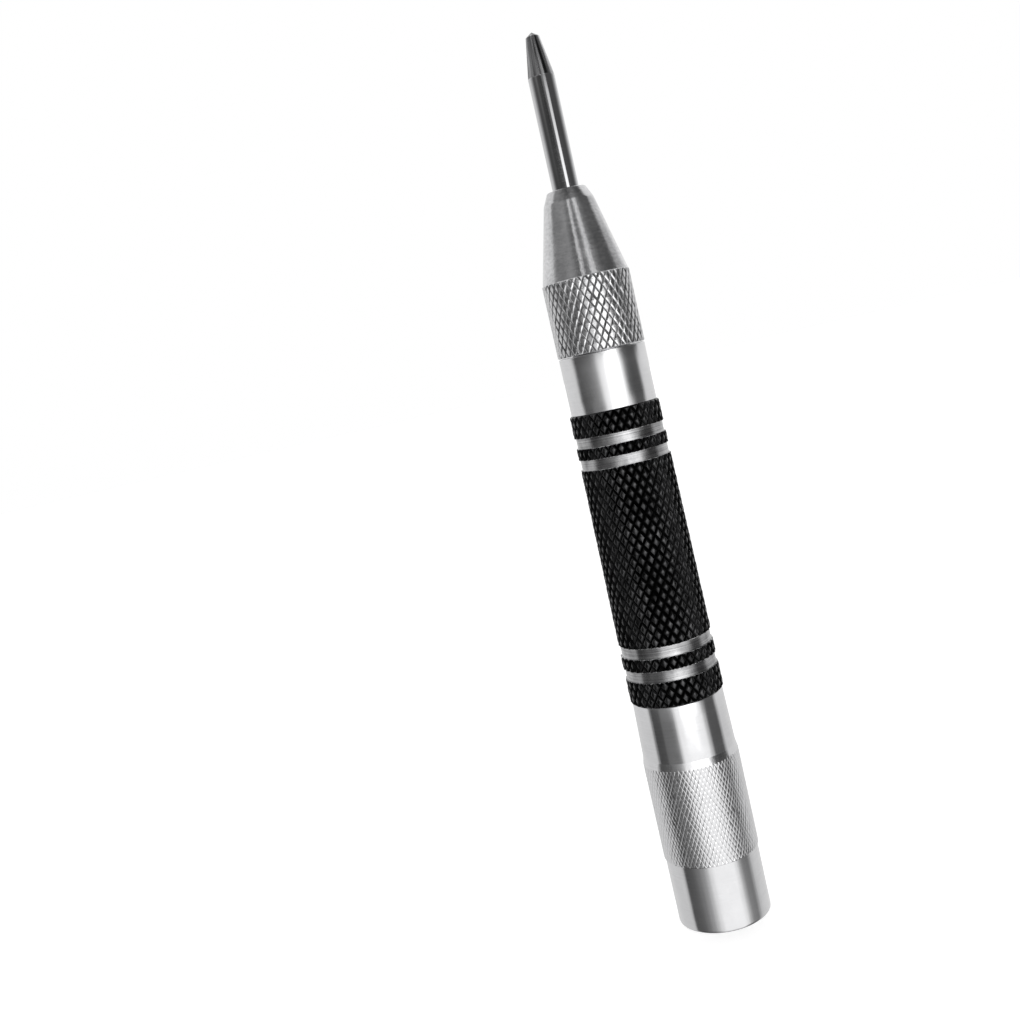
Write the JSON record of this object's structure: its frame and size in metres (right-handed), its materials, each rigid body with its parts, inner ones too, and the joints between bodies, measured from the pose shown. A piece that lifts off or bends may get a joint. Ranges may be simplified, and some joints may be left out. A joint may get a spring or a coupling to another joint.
{
  "type": "automatic center punch",
  "caption": "Spring-loaded center punch: a knurled pen-sized body with a slim steel needle that strikes by itself when pressed on the work.",
  "frame": {"origin": "centre of the flat end of the adjusting cap, where the tool stands upright", "axes": "+Z along the tool's axis from the cap's flat end to the needle's point; X and Y are free, because the outside is round; the trip rod leans in the XZ plane"},
  "size_m": [0.0142, 0.0142, 0.13],
  "materials": {
    "cap_metal": "satin nickel plate, bright knurl",
    "nose_metal": "fine turned satin, bright knurl",
    "body_metal": "satin nickel plate",
    "grip_black": "black anodised knurl",
    "grip_bare": "bare turned grooves",
    "needle_steel": "hardened steel, polished",
    "inner_steel": "ground and oiled",
    "spring_steel": "drawn spring wire"
  },
  "bodies": {
    "body": {"body_tube": "body_metal", "grip_sleeve": "grip_black", "main_spring": "spring_steel", "return_spring": "spring_steel"},
    "nose": {"nose_cap": "nose_metal"},
    "needle": {"punch_needle": "needle_steel"},
    "rod": {"trip_rod": "inner_steel"},
    "hammer": {"hammer": "inner_steel"},
    "seat": {"spring_seat": "inner_steel"},
    "cap": {"rear_cap": "cap_metal"}
  },
  "joints": [
    {"name": "nose_unscrew", "type": "slide", "parent": "body", "child": "nose", "axis": [0, 0, 1], "range_m": [0, 0.0078]},
    {"name": "needle_press", "type": "slide", "parent": "nose", "child": "needle", "axis": [0, 0, -1], "range_m": [0, 0.0085], "stiffness_N_per_m": 300, "springref_m": -0.003, "deforming": ["return_spring"]},
    {"name": "rod_tilt", "type": "hinge", "parent": "needle", "child": "rod", "pos_m": [0, 0, 0.08245], "axis": [0, -1, 0], "range_deg": [0, 4.21]},
    {"name": "hammer_cock", "type": "slide", "parent": "body", "child": "hammer", "axis": [0, 0, -1], "range_m": [0, 0.0085], "stiffness_N_per_m": 200, "springref_m": -0.003, "deforming": ["main_spring"]},
    {"name": "cap_advance", "type": "slide", "parent": "body", "child": "seat", "axis": [0, 0, -1], "range_m": [0, 0.003]},
    {"name": "cap_turn", "type": "hinge", "parent": "seat", "child": "cap", "pos_m": [0, 0, 0.02], "axis": [0, 0, -1], "range_deg": [0, 1080]}
  ],
  "couplings": [
    {"joint": "rod_tilt", "follows": "needle_press", "rad_per_m": 8.6513},
    {"joint": "hammer_cock", "follows": "needle_press", "ratio": 1},
    {"joint": "cap_turn", "follows": "cap_advance", "rad_per_m": 6283.2}
  ]
}
